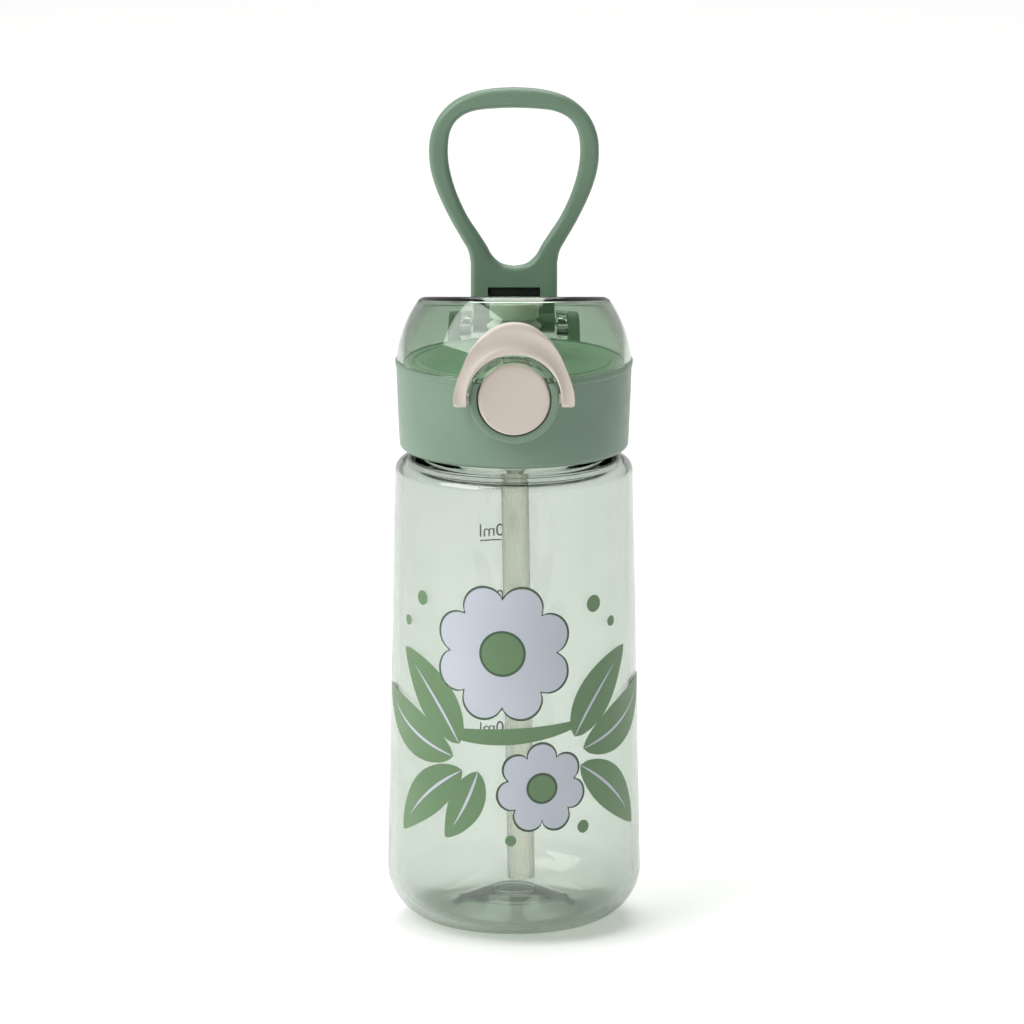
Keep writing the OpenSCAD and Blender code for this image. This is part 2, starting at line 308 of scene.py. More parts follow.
def clearPlastic(name, light, dark, ior, waveMm, waveDepth, lampTint):
    # polished clear moulding: slightly wavy from the blow, with fine handling haze
    material, tree, surface, place = startMaterial(name, IOR=ior, Transmission_Weight=1.0)
    wave = addNode(tree, "ShaderNodeTexNoise", "Fac", {"Vector": place, "Scale": 1 / (waveMm * mm),
                                                       "Detail": 1.5})
    haze = addNode(tree, "ShaderNodeTexNoise", "Fac", {"Vector": place, "Scale": 1 / (3 * mm), "Detail": 4})
    shade = addNode(tree, "ShaderNodeMapRange", "Result", {"Value": wave, "From Min": 0.3, "From Max": 0.7})
    colour = addNode(tree, "ShaderNodeMix", 2, {"Factor": shade, 6: linear(light), 7: linear(dark)},
                     data_type="RGBA")
    gloss = addNode(tree, "ShaderNodeMapRange", "Result", {"Value": haze, "From Min": 0.3, "From Max": 0.7,
                                                           "To Min": 0, "To Max": 0.03})
    relief = addNode(tree, "ShaderNodeBump", "Normal", {"Height": wave, "Distance": waveDepth * mm,
                                                        "Strength": 0.6})
    link(tree, surface, Base_Color=colour, Roughness=gloss, Normal=relief)
    letLampsThrough(tree, surface, lampTint)
    return material


def makeSilicone():
    # liquid silicone rubber: translucent white, light scatters inside it, matt skin
    material, tree, surface, place = startMaterial("milkySilicone", IOR=1.43, Subsurface_Weight=0.4,
                                                   Subsurface_Scale=0.004, Transmission_Weight=0.25)
    cloud = addNode(tree, "ShaderNodeTexNoise", "Fac", {"Vector": place, "Scale": 1 / (9 * mm),
                                                        "Detail": 2})
    fine = addNode(tree, "ShaderNodeTexNoise", "Fac", {"Vector": place, "Scale": 1 / (0.5 * mm),
                                                       "Detail": 4})
    colour = addNode(tree, "ShaderNodeMix", 2, {"Factor": cloud, 6: linear("#eef0ea"),
                                                7: linear("#e3e8df")},
                     data_type="RGBA")
    gloss = addNode(tree, "ShaderNodeMapRange", "Result", {"Value": fine, "From Min": 0.3, "From Max": 0.7,
                                                           "To Min": 0.42, "To Max": 0.52})
    relief = addNode(tree, "ShaderNodeBump", "Normal", {"Height": fine, "Distance": 0.008 * mm,
                                                        "Strength": 0.5})
    link(tree, surface, Base_Color=colour, Roughness=gloss, Normal=relief)
    return material


def makeStrawPlastic():
    # extruded straw tube: milky, half clear, with faint draw lines along it
    material, tree, surface, place = startMaterial("milkyStrawTube", IOR=1.45, Transmission_Weight=1.0)
    squeeze = addNode(tree, "ShaderNodeMapping", "Vector", {"Vector": place, "Scale": (1, 1, 0.03)})
    lines = addNode(tree, "ShaderNodeTexNoise", "Fac", {"Vector": squeeze, "Scale": 1 / (0.6 * mm),
                                                        "Detail": 3})
    colour = addNode(tree, "ShaderNodeMix", 2, {"Factor": lines, 6: linear("#fefdf8"),
                                                7: linear("#fbfaf3")},
                     data_type="RGBA")
    gloss = addNode(tree, "ShaderNodeMapRange", "Result", {"Value": lines, "From Min": 0.3, "From Max": 0.7,
                                                           "To Min": 0.24, "To Max": 0.32})
    relief = addNode(tree, "ShaderNodeBump", "Normal", {"Height": lines, "Distance": 0.01 * mm,
                                                        "Strength": 0.4})
    link(tree, surface, Base_Color=colour, Roughness=gloss, Normal=relief)
    return material


def makeWire():
    # drawn stainless wire and pin: bright, with fine drawing marks
    material, tree, surface, place = startMaterial("drawnStainless", Metallic=1.0)
    fine = addNode(tree, "ShaderNodeTexNoise", "Fac", {"Vector": place, "Scale": 1 / (0.25 * mm),
                                                       "Detail": 4})
    colour = addNode(tree, "ShaderNodeMix", 2, {"Factor": fine, 6: linear("#c9cacb"), 7: linear("#b7b9bb")},
                     data_type="RGBA")
    gloss = addNode(tree, "ShaderNodeMapRange", "Result", {"Value": fine, "From Min": 0.3, "From Max": 0.7,
                                                           "To Min": 0.22, "To Max": 0.34})
    relief = addNode(tree, "ShaderNodeBump", "Normal", {"Height": fine, "Distance": 0.004 * mm,
                                                        "Strength": 0.4})
    link(tree, surface, Base_Color=colour, Roughness=gloss, Normal=relief)
    return material


# polypropylene, injection moulded in a fine-grained tool: satin, dusty sage green
sagePolypropylene = mouldedPlastic("sagePolypropylene", "#7d9682", "#768f7b", 0.36, 0.5, 0.012)
# the deck is the same plastic, painted a tint lighter: painted light for the light that falls on its upward
# face
deckPolypropylenePaintedLight = mouldedPlastic("deckPolypropylenePaintedLight", "#9db39f", "#94aa97", 0.36, 0.5, 0.012)
# the same plastic on the handle: glossier where the hand polishes it, and painted a tint darker as painted
# shade
handlePolypropyleneGlossAndShade = mouldedPlastic("handlePolypropyleneGlossAndShade", "#75917a", "#6f8a73", 0.32, 0.5, 0.010)
# ABS, satin moulded: warm cream with a soft sheen
creamAbs = mouldedPlastic("creamAbs", "#d9cfc4", "#d2c6ba", 0.38, 0.6, 0.010, ior=1.53)
# unpigmented polypropylene of the slider and connector: milky and waxy
milkyPolypropylene = mouldedPlastic("milkyPolypropylene", "#e4e8e1", "#dadfd6", 0.42, 0.6, 0.008)
# elastomer of the handle bumper and the o-ring: matt near-black with a coarse grain; on the handle the
# bumper's near-black also paints the shade deep in its recess
blackElastomer = mouldedPlastic("blackElastomer", "#1c201b", "#141713", 0.7, 0.8, 0.03)
# screen inks, cured matt on the polished wall
greenInk = mouldedPlastic("greenScreenInk", "#6f8f68", "#66865f", 0.42, 0.35, 0.006)
whiteInk = mouldedPlastic("whiteScreenInk", "#c9ced8", "#c2c8d2", 0.45, 0.35, 0.006)
outlineInk = mouldedPlastic("darkGreenScreenInk", "#4c6650", "#435c47", 0.45, 0.35, 0.006)
scaleInk = mouldedPlastic("greyGreenScaleInk", "#5d6f60", "#526455", 0.5, 0.35, 0.005)

# copolyester of the bottle: clear, grey-green, high gloss
tintedCopolyester = clearPlastic("tintedCopolyester", "#f8faf8", "#f4f7f4", 1.55, 16, 0.10, "#eef2ec")
tintThrough(tintedCopolyester.node_tree, "#b1bfb1", 195)
# polycarbonate of the dome: clear, a stronger green, high gloss
tintedPolycarbonate = clearPlastic("tintedPolycarbonate", "#c4d1c3", "#bdcbbd", 1.58, 14, 0.06, "#dfeadf")

milkySilicone = makeSilicone()
milkyStrawTube = makeStrawPlastic()
drawnStainless = makeWire()
print("materials made:", len(bpy.data.materials))


bottle = {"lowR": 38.7, "topR": 36.0, "wall": 2.0, "corner": 17.0, "neckR": 29.6, "neckBore": 27.0,
          "threadDepth": 1.5, "punt": 5.6, "gateR": 6.7}


def bottleR(z):
    # outer radius of the side wall at a height
    low, high = bottle["corner"], shoulderZ - 3
    share = (min(max(z, low), high) - low) / (high - low)
    return bottle["lowR"] - 0.04 + (bottle["topR"] - bottle["lowR"] + 0.04) * share


def makeBottle():
    b = bottle
    foot = b["lowR"] - b["corner"]
    inner = [(0, b["punt"] + 3.2), (4, b["punt"] + 3.1), (9, b["punt"] + 2.4), (14, b["punt"] + 1.0)]
    inner += [(18, 3.4)] + arc(foot, b["corner"], b["corner"] - b["wall"] - 0.4, -82, -4, 14)
    inner += arc(b["topR"] - 3.6, shoulderZ - 3.2, 3.6 - b["wall"], 0, 84, 8)
    inner += [(b["neckBore"] + 1.0, shoulderZ - 1.3), (b["neckBore"], shoulderZ - 0.6)]
    inner += arc(b["neckBore"] + 0.6, mouthZ - 0.6, 0.6, 180, 90, 4)
    outer = arc(b["neckR"] - 0.6, mouthZ - 0.6, 0.6, 90, 0, 4)
    outer += [(b["neckR"], shoulderZ + 3.0)] + arc(b["neckR"] + 1.9, shoulderZ + 1.1, 0.5, 90, -90, 6)
    outer += arc(b["neckR"] + 0.6, shoulderZ + 0.3, 0.3, 180, 270, 3)[:2]
    outer += arc(b["topR"] - 3, shoulderZ - 3, 3, 90, 0, 10)
    outer += arc(foot, b["corner"], b["corner"], -4, -90, 20)
    outer += [(18.6, 0.1), (17, 1.0), (13, b["punt"] - 2.1), (8, b["punt"] - 0.7)]
    outer += [(3, b["punt"] - 0.1), (0, b["punt"])]
    shell = asObject(spun(inner + outer, 160, closed=False), "bottleShell")
    return finish(shell, tintedCopolyester, "bottle", ["bottle_body"], sharp=50)


def makeThread():
    # one right-hand ridge of a trapezoid section, wound up the neck
    bm = bmesh.new()
    r, deep = bottle["neckR"] - 0.3, bottle["threadDepth"] + 0.3
    section = [(r, -1.0), (r + deep, -0.45), (r + deep, 0.45), (r, 1.0)]
    verts = [bm.verts.new((x, 0, shoulderZ + 4.5 + z)) for x, z in section]
    edges = [bm.edges.new((verts[i], verts[(i + 1) % 4])) for i in range(4)]
    steps = 112
    bmesh.ops.spin(bm, geom=verts + edges, cent=(0, 0, 0), axis=(0, 0, 1), angle=math.radians(630),
                   steps=steps, dvec=(0, 0, 7.0 / steps))
    bmesh.ops.holes_fill(bm, edges=[e for e in bm.edges if e.is_boundary])
    bmesh.ops.recalc_face_normals(bm, faces=bm.faces)
    thread = asObject(bm, "neckThread")
    return finish(thread, tintedCopolyester, "bottle", [], sharp=30)


def makeGateRing():
    # small moulded ring left round the gate, inside on top of the punt
    bm = spun(arc(bottle["gateR"], 0, 0.55, 0, 315, 7), 64)
    moved(bm, (0, 0, bottle["punt"] + 3.0))
    return finish(asObject(bm, "gateRing"), tintedCopolyester, "bottle", [], sharp=180)


makeBottle()
makeThread()
makeGateRing()
print("bottle made")


# straw and what it hangs from
straw = {"r": 4.15, "bore": 3.2, "lean": 0.9, "lip": 0.25}


def makeStraw():
    s = straw
    top, bottom = mouthZ - 4, 12.8
    outline = arc(s["r"] - s["lip"], bottom - top + s["lip"], s["lip"], -90, 0, 3)
    outline += arc(s["r"] - s["lip"], -s["lip"], s["lip"], 0, 90, 3)
    outline += [(s["bore"], 0), (s["bore"], bottom - top)]
    bm = turned(spun(outline, 64), -s["lean"], "Y", (0, spoutY, top))
    return finish(asObject(bm, "strawTube"), milkyStrawTube, "lid", ["straw"])


makeStraw()

# lid ring with the button's collar and the hinge lugs
ring = {"r": 35.6, "lip": 0.3, "lowR": 34.6, "inner": 33.3, "low": 4.0, "bossR": 13.5, "bossBore": 11.1,
        "bossFront": 38.0, "towerY": 31.6, "lugIn": 17.3, "lugOut": 21.5, "knuckle": 3.8}


def makeRing():
    g = ring
    low = shoulderZ + g["low"]
    outline = arc(g["lowR"] - 1.6, low + 1.6, 1.6, -90, 0, 6)
    outline += [(g["lowR"] + 0.35, low + 9), (g["lowR"] + 0.68, low + 17), (g["r"] - 0.05, seamZ - 1.9)]
    outline += arc(g["r"] + 0.05, seamZ - 1.35, 0.3, -50, 0, 3)[:1]
    outline += arc(g["r"], seamZ - 0.3, g["lip"], 0, 90, 3)
    outline += [(g["inner"], seamZ), (g["inner"], seamZ - 2.6), (g["inner"] - 1.3, seamZ - 2.6)]
    outline += [(g["inner"] - 1.3, seamZ - 5), (g["inner"], seamZ - 7), (g["inner"], low)]
    ringPiece = asObject(spun(outline, 160), "lidRing")
    # the collar round the button, cut off level at the seam
    collar = [(g["bossBore"], g["towerY"]), (g["bossBore"], g["bossFront"] - 0.5)]
    collar += arc(g["bossBore"] + 0.5, g["bossFront"] - 0.5, 0.5, 180, 90, 4)
    collar += arc(g["bossR"] - 0.9, g["bossFront"] - 0.9, 0.9, 90, 0, 5) + [(g["bossR"], g["towerY"] - 2)]
    collar += [(0, g["towerY"] - 2), (0, g["towerY"])]
    boss = asObject(turned(spun(collar, 96, closed=False), 90, "X", (0, 0, buttonZ)), "boss")
    cut(boss, block((-30, -60, seamZ), (30, 60, seamZ + 30)))
    # clear the collar's mouth out of the ring, then add the collar
    mouth = drum(g["bossBore"] + 0.01, 12, 0, 96)
    cut(ringPiece, turned(mouth, 90, "X", (0, -g["towerY"] + 0.3, buttonZ)))
    join(ringPiece, loose(boss))
    # the wall behind the button that stands above the seam
    tower = drum(10.2, 1.8, 0.3, 96)
    tower = asObject(turned(tower, 90, "X", (0, -g["towerY"] + 1.8, buttonZ)), "tower")
    cut(tower, block((-30, -60, seamZ - 40), (30, 60, seamZ - 2.2)))
    join(ringPiece, loose(tower))
    cut(ringPiece, alongX(drum(1.55, 32, 0, 32), -16, -35.6, buttonZ))
    return finish(ringPiece, sagePolypropylene, "lid", ["lid_ring", "button_collar"], sharp=32)


def makeLug(side):
    # a rounded ear on a gusset, drawn in YZ
    g = ring
    outline = [(28.4, seamZ - 3.4), (31.9, seamZ - 0.6)]
    outline += arc(hingeY, hingeZ, g["knuckle"], 160, 0, 14)
    outline += [(hingeY + g["knuckle"], seamZ + 1.4), (hingeY + 2.6, seamZ - 1.8), (29.4, seamZ - 14)]
    bm = plate("lug", [outline], g["lugOut"] - g["lugIn"], 0.6, 3)
    turned(bm, 90, "X")
    turned(bm, 90, "Z")
    moved(bm, (side * (g["lugIn"] + g["lugOut"]) / 2, 0, 0))
    lug = asObject(bm, "hingeLugRight" if side > 0 else "hingeLugLeft")
    cut(lug, alongX(drum(pinBore, 60, 0, 32), -30, hingeY, hingeZ))
    return finish(lug, sagePolypropylene, "lid", [], sharp=32)


makeRing()
makeLug(-1)
makeLug(1)
print("lid ring made")


deck = {"r": 33.1, "thick": 2.4, "platform": 11.0, "spoutHole": 6.1, "ventHole": 1.6}


def makeDeck():
    d = deck
    low, top = seamZ - d["thick"], seamZ
    outline = [(0, low), (d["r"] - 0.3, low), (d["r"], low + 0.3)]
    outline += arc(d["r"] - 0.6, top - 0.6, 0.6, 0, 90, 4)
    # a shallow groove just inside the rim
    outline += [(d["r"] - 2.4, top), (d["r"] - 2.9, top - 0.45), (d["r"] - 3.7, top - 0.45)]
    outline += [(d["r"] - 4.2, top), (0, top)]
    piece = asObject(spun(outline, 128, closed=False), "deckPlate")
    platform = drum(d["platform"], 1.8, 0.45, 96)
    moved(platform, (0, spoutY, seamZ - 0.2))
    join(piece, platform)
    spoutHole = drum(d["spoutHole"], 20, 0, 64)
    moved(spoutHole, (0, spoutY, seamZ - 10))
    cut(piece, spoutHole)
    ventHole = drum(d["ventHole"], 20, 0, 32)
    moved(ventHole, (0, ventY, seamZ - 10))
    cut(piece, ventHole)
    # slots for the latch finger and for the wall behind the button
    cut(piece, block((-4, -29.5, seamZ - 10), (4, -20.9, seamZ + 10)))
    cut(piece, block((-14, -40, seamZ - 10), (14, -29.3, seamZ + 10)))
    return finish(piece, deckPolypropylenePaintedLight, "lid", ["deck_plate"], sharp=32)


def makeSpoutCollar():
    outline = [(8.6, 0), (10.2, 0)] + arc(10.6 - 0.7, 2.6 - 0.7, 0.7, 0, 90, 5)
    outline += arc(8.2 + 0.4, 2.2, 0.4, 90, 180, 3)
    outline += [(8.2, 1.8), (8.6, 1.7)]
    bm = spun(outline, 96)
    moved(bm, (0, spoutY, seamZ + 1.7))
    return finish(asObject(bm, "spoutCollar"), sagePolypropylene, "lid", ["spout_collar"])


def makeSpout():
    # a spun nozzle, squeezed flat towards the lips, with a raised bite rim and a slit
    tip = 12.8
    outline = [(0, -3), (5.9, -3), (5.9, 1.75), (8.3, 1.85)] + arc(8.0, 2.5, 0.4, 0, 90, 3)
    outline += [(7.5, 3.4), (7.1, 5), (6.7, 7), (6.5, 9)]
    outline += arc(6.3, 10.6, 0.8, -60, 60, 5) + arc(4.6, tip - 1.5, 1.5, 30, 90, 4)
    outline += [(2.4, tip - 0.15), (0, tip - 0.4)]
    bm = spun(outline, 64, closed=False)
    for v in bm.verts:
        squeeze = min(max((v.co.z - 2.9) / 5, 0), 1)
        v.co.y *= 1 - 0.38 * squeeze
        v.co.x *= 1 + 0.16 * squeeze
    moved(bm, (0, spoutY, seamZ))
    spout = asObject(bm, "mouthpiece")
    cut(spout, block((-2.2, spoutY - 0.25, seamZ + 8), (2.2, spoutY + 0.25, seamZ + 20)))
    return finish(spout, milkySilicone, "lid", ["spout"], sharp=45)


def makeVent():
    outline = [(0, -4), (1.4, -4), (1.5, -3.8), (1.5, 0.05), (3.0, 0.1)] + arc(2.6, 0.6, 0.4, 0, 80, 4)
    outline += [(2.1, 1.15), (1.9, 1.4), (1.2, 1.5), (0, 1.3)]
    bm = spun(outline, 48, closed=False)
    moved(bm, (0, ventY, seamZ))
    return finish(asObject(bm, "ventUmbrella"), milkySilicone, "lid", ["vent_valve"])


makeDeck()
makeSpoutCollar()
makeSpout()
makeVent()
print("deck, mouthpiece and vent made")


dome = {"r": 35.6, "below": 3.0, "wall": 2.0, "slope": 10.7, "height": 19.1, "back": 32.8, "edge": 0.15,
        "collarR": 13.6, "collarBore": 11.6, "collarFront": 37.4, "earIn": 13.65, "earOut": 17.0}


def domeForm(shrink, rounding):
    # the outer form, or with shrink the inner one: spun about the sloping top's own axis, then trimmed
    d = dome
    slope, r = math.radians(d["slope"]), d["r"] - shrink
    top = (d["below"] + d["height"] - shrink) * math.cos(slope)
    across = math.sqrt((r - rounding) ** 2 - (top - rounding) ** 2)
    meet = math.degrees(math.atan2(top - rounding, across))
    outline = [(0, -9)] + arc(0, 0, r, -15, meet, 40) + arc(across, top - rounding, rounding, meet, 90, 8)[1:]
    bm = turned(spun(outline + [(0, top)], 160, closed=False), -d["slope"], "X", (0, 0, seamZ - d["below"]))
    low = seamZ + d["edge"] - (1 if shrink else 0)
    for point, away in (((0, 0, low), (0, 0, -1)), ((0, d["back"] - shrink, 0), (0, 1, 0))):
        bmesh.ops.bisect_plane(bm, geom=bm.verts[:] + bm.edges[:] + bm.faces[:], dist=0.02,
                               plane_co=point, plane_no=away, clear_outer=True)
        bmesh.ops.edgeloop_fill(bm, edges=[e for e in bm.edges if e.is_boundary])
    bmesh.ops.recalc_face_normals(bm, faces=bm.faces)
    return bm


def makeDome():
    d = dome
    shell = asObject(domeForm(0, 2.4), "flipDome")
    cut(shell, domeForm(d["wall"], 1.4))
    # half collar over the button
    collar = [(d["collarBore"] - 0.3, 27.5), (d["collarBore"] - 0.3, d["collarFront"] - 0.5)]
    collar += arc(d["collarBore"] + 0.2, d["collarFront"] - 0.5, 0.5, 180, 90, 4)
    collar += arc(d["collarR"] - 0.8, d["collarFront"] - 0.8, 0.8, 90, 0, 5) + [(d["collarR"], 27.5)]
    collar = asObject(turned(spun(collar, 96), 90, "X", (0, 0, buttonZ)), "collar")
    cut(collar, block((-30, -60, seamZ - 30), (30, 60, seamZ + d["edge"])))
    join(shell, loose(collar))
    cut(shell, turned(drum(d["collarBore"], 14, 0, 96), 90, "X", (0, -27, buttonZ)))
    for side in (-1, 1):
        outline = [(27.5, seamZ + 1.2), (hingeY - 1, seamZ + 1.2)] + arc(hingeY, hingeZ, 3.8, -80, 110, 18)
        outline += [(28, seamZ + 7.6)]
        ear = plate("ear", [outline], d["earOut"] - d["earIn"], 0.4, 3)
        turned(ear, 90, "X")
        turned(ear, 90, "Z", (side * (d["earIn"] + d["earOut"]) / 2, 0, 0))
        join(shell, ear)
    cut(shell, alongX(drum(pinBore, 50, 0, 32), -25, hingeY, hingeZ))
    # the tongue that the latch finger holds
    join(shell, block((-3.5, -28.6, seamZ + 1.2), (3.5, -26.8, seamZ + 13.5), 0.4))
    return finish(shell, tintedPolycarbonate, "dome", ["dome_cover"], sharp=30)


def makeSealPad():
    bm = drum(7.4, 5.2, 0.6, 64)
    moved(bm, (0, spoutY, seamZ + 13.2))
    pad = asObject(bm, "roofPad")
    return finish(pad, milkySilicone, "dome", ["dome_seal_pad"])


makeDome()
makeSealPad()
print("dome made")


button = {"r": 10.75, "front": 38.6, "deep": 3.6, "dish": 0.12}


def makeButton():
    b = button
    back = b["front"] - b["deep"]
    outline = [(0, 26.7), (2.3, 26.7), (2.5, 26.9), (2.5, b["front"] - 1.9), (b["r"] - 1.6, b["front"] - 1.9)]
    outline += [(b["r"] - 1.6, back), (b["r"], back)] + arc(b["r"] - 0.9, b["front"] - 0.9, 0.9, 0, 90, 6)
    outline += [(b["r"] * 0.6, b["front"] - b["dish"] * 0.6), (0, b["front"] - b["dish"])]
    bm = turned(spun(outline, 96, closed=False), 90, "X", (0, 0, buttonZ))
    return finish(asObject(bm, "pushButton"), creamAbs, "button", ["button_cap"], sharp=45)


def makeSlider():
    low = buttonZ - 5
    piece = asObject(block((-6, -29.2, low), (6, -23.2, low + 7.4), 0.4), "latchSlider")
    join(piece, block((-3.4, -26.4, low + 6), (3.4, -24.2, buttonZ + 10.4), 0.35))
    cut(piece, turned(drum(2.55, 8, 0, 32), 90, "X", (0, -26.6, buttonZ)))
    return finish(piece, milkyPolypropylene, "button", ["latch_slider"], sharp=35)


makeButton()
makeSlider()
print("button made")


bail = {"inner": 14.2, "top": 23.9, "back": 38.0, "front": 41.2, "pivotY": 35.6, "scoop": 0.9}


def makeBail():
    b = bail
    outer = bothSides(arc(0, b["top"] - 12.5, 12.5, 90, 50, 8)
                      + [(9.7, 19.5), (11.3, 17.8), (12.8, 15.6), (14.1, 13.2), (15.2, 10.6), (16.3, 7.9),
                         (17.2, 5.3), (17.9, 2.7), (18.15, 0.2)]
                      + arc(17.0, -1.0, 1.1, 10, -80, 5) + [(14.3, -2.05)])
    inner = bothSides(arc(0, 0, b["inner"], 90, 2, 28) + [(b["inner"] - 0.05, -0.6)])
    # the arch is one closed outline that goes over and back under
    half = len(outer) // 2
    archOutline = outer[half:] + outer[:half] + inner[:len(inner) // 2][::-1]
    archOutline += [(-x, z) for x, z in inner[1:len(inner) // 2]]
    bm = plate("bail", [archOutline], b["front"] - b["back"], 1.0, 5)
    turned(bm, 90, "X", (0, -(b["front"] + b["back"]) / 2, buttonZ))
    piece = asObject(bm, "lockBail")
    # a shallow scoop round the face leaves a raised rim
    tube = spun([(16.6 + 4.5 * math.cos(t * math.pi / 16), 4.5 * math.sin(t * math.pi / 16))
                 for t in range(32)], 128)
    cut(piece, turned(tube, 90, "X", (0, -b["front"] - 4.5 + b["scoop"], buttonZ + 2.4)))
    # lower front corner of both feet is cut away for the swing
    wedge = block((-25, -12, -8), (25, 0, 0))
    cut(piece, turned(wedge, -35, "X", (0, -b["back"], buttonZ - 2.6)))
    for side in (-1, 1):
        lobe = drum(2.0, 3.7, 0.5, 48)
        lobe = alongX(lobe, b["inner"] if side > 0 else -b["inner"] - 3.7, -b["pivotY"], buttonZ)
        join(piece, lobe)
        lowX, highX = sorted((side * (b["inner"] + 0.05), side * 17.85))
        join(piece, block((lowX, -b["back"] - 0.8, buttonZ - 1.95),
                          (highX, -b["pivotY"], buttonZ + 1.95), 0.4))
        peg = drum(1.5, 3.2, 0.2, 32)
        join(piece, alongX(peg, 11.8 if side > 0 else -15.0, -b["pivotY"], buttonZ))
    return finish(piece, creamAbs, "bail", ["lock_bail"], sharp=40)


makeBail()
print("lock bail made")


handle = {"top": 250.0, "thick": 5.0, "tab": 13.25, "rounding": 1.7,
          "knuckle": 3.8, "slot": 8.0, "slotLow": 7.2, "slotHigh": 10.2}


def makeHandle():
    h = handle
    top = h["top"]
    # half of the outer line and half of the gap, down from the top
    side = [(0, 0), (7, -0.45), (13.6, -1.9), (18.8, -4.6), (22.9, -8.9), (25.3, -14.4), (25.9, -20),
            (25.2, -26.2), (22.9, -33.2), (19.4, -40.6), (15.9, -46.8), (14.0, -50.3), (h["tab"], -54)]
    gap = [(0, -6.1), (7, -6.4), (12.6, -7.2), (16.8, -9.4), (19.3, -13.2), (20.1, -18.5), (19.7, -24.6),
           (17.7, -32), (14.4, -39.4), (10.7, -45.2), (8.4, -48.8), (6.6, -52.0), (3.7, -54.5), (0, -55.3)]
    outer = bothSides(smoothLine([(x, top + z) for x, z in side]) + [(h["tab"], hingeZ)])[1:]
    inner = bothSides(smoothLine([(x, top + z) for x, z in gap]))[1:]
    # points that fall together would leave spikes in the rounded rim
    outer, inner = [[p for i, p in enumerate(line) if math.dist(p, line[i - 1]) > 0.02]
                    for line in (outer, inner)]
    bm = plate("handle", [outer, inner], h["thick"], h["rounding"], 6)
    turned(bm, 90, "X", (0, hingeY, 0))
    piece = asObject(bm, "carryHandle")
    join(piece, alongX(drum(h["knuckle"], 2 * h["tab"], 0.5, 64), -h["tab"], hingeY, hingeZ))
    cut(piece, block((-7.5, hingeY - 10, hingeZ - 10), (7.5, hingeY + 10, hingeZ + 5), 0.8))
    cut(piece, block((-h["slot"], hingeY - 8, hingeZ + h["slotLow"]),
                     (h["slot"], hingeY + 0.5, hingeZ + h["slotHigh"])))
    cut(piece, alongX(drum(pinBore, 50, 0, 32), -25, hingeY, hingeZ))
    return finish(piece, handlePolypropyleneGlossAndShade, "handle", ["handle"], sharp=32)


def makeHandlePadAndShade():
    # a near-black rubber pad set in the handle's recess; its near-black also paints the shade that falls deep
    # in the recess
    h = handle
    face = hingeY - h["thick"] / 2 + 1
    bm = block((-h["slot"] + 0.05, face, hingeZ + h["slotLow"] + 0.05),
               (h["slot"] - 0.05, face + 1.95, hingeZ + h["slotHigh"] - 0.05), 0.3)
    return finish(asObject(bm, "handleBumperAndShade"), blackElastomer, "handle", ["handle_pad"])


hinge = {"pinR": 1.3, "springR": 2.3, "wire": 0.4, "pitch": 1.05, "coils": 9}


def makeHinge():
    h = hinge
    pin = alongX(drum(h["pinR"], pinHigh.x - pinLow.x, 0.35, 40), pinLow.x, hingeY, hingeZ)
    finish(asObject(pin, "hingePin"), drawnStainless, "lid", ["hinge_pin"])
    spring = alongX(coil(h["springR"], h["wire"], h["pitch"], h["coils"]), -5, hingeY, hingeZ)
    finish(asObject(spring, "hingeSpring"), drawnStainless, "lid", ["hinge_spring"])


makeHandle()
makeHandlePadAndShade()
makeHinge()
print("handle made")


# parts that stay as the frame has them, with their real finish
plainParts = {"inner_lid": sagePolypropylene, "lid_gasket": milkySilicone,
              "straw_connector": milkyPolypropylene, "connector_oring": blackElastomer,
              "button_spring": drawnStainless}

for nodeName, material in plainParts.items():
    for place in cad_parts[nodeName].material_slots:
        place.link = "OBJECT"
        place.material = material


# printed decoration and volume scale: thin ink films on the wall
ink = {"film": 0.03, "gap": 0.01, "cell": 1.6}


def filmOnWall(name, outlines, material, layer=0, back=False):
    # flat outlines in (width along the wall, height) wrapped onto the bottle
    curve = bpy.data.curves.new(name, "CURVE")
    curve.dimensions, curve.fill_mode, curve.extrude = "2D", "BOTH", ink["film"] / 2
    for outline in outlines:
        spline = curve.splines.new("POLY")
        spline.points.add(len(outline) - 1)
        for point, (x, y) in zip(spline.points, outline):
            point.co = (x, y, 0, 1)
        spline.use_cyclic_u = True
    return wrapFilm(name, meshOf(name, curve), material, layer, back)


def wrapFilm(name, bm, material, layer, back):
    xs = [v.co.x for v in bm.verts]
    step = ink["cell"]
    for i in range(int(min(xs) / step) - 1, int(max(xs) / step) + 2):
        bmesh.ops.bisect_plane(bm, geom=bm.verts[:] + bm.edges[:] + bm.faces[:], dist=1e-4,
                               plane_co=(i * step, 0, 0), plane_no=(1, 0, 0))
    for v in bm.verts:
        lift = ink["gap"] + layer * (ink["film"] + ink["gap"]) + v.co.z + ink["film"] / 2
        r = bottleR(v.co.y) + lift
        angle = v.co.x / bottleR(v.co.y) + (math.pi if back else 0)
        v.co = (r * math.sin(angle), -r * math.cos(angle), v.co.y)
    bmesh.ops.triangulate(bm, faces=[f for f in bm.faces if len(f.verts) > 4])
    bmesh.ops.recalc_face_normals(bm, faces=bm.faces)
    return finish(asObject(bm, name), material, "bottle", [], sharp=60)


def petals(cx, cz, r, depth, count, turn=0.0, steps=180):
    # a closed scalloped ring, counter-clockwise
    result = []
    for i in range(steps):
        t = 2 * math.pi * i / steps
        reach = r - depth + depth * abs(math.cos(count * (t - math.radians(turn)) / 2)) ** 0.55
        result.append((cx + reach * math.cos(t), cz + reach * math.sin(t)))
    return result


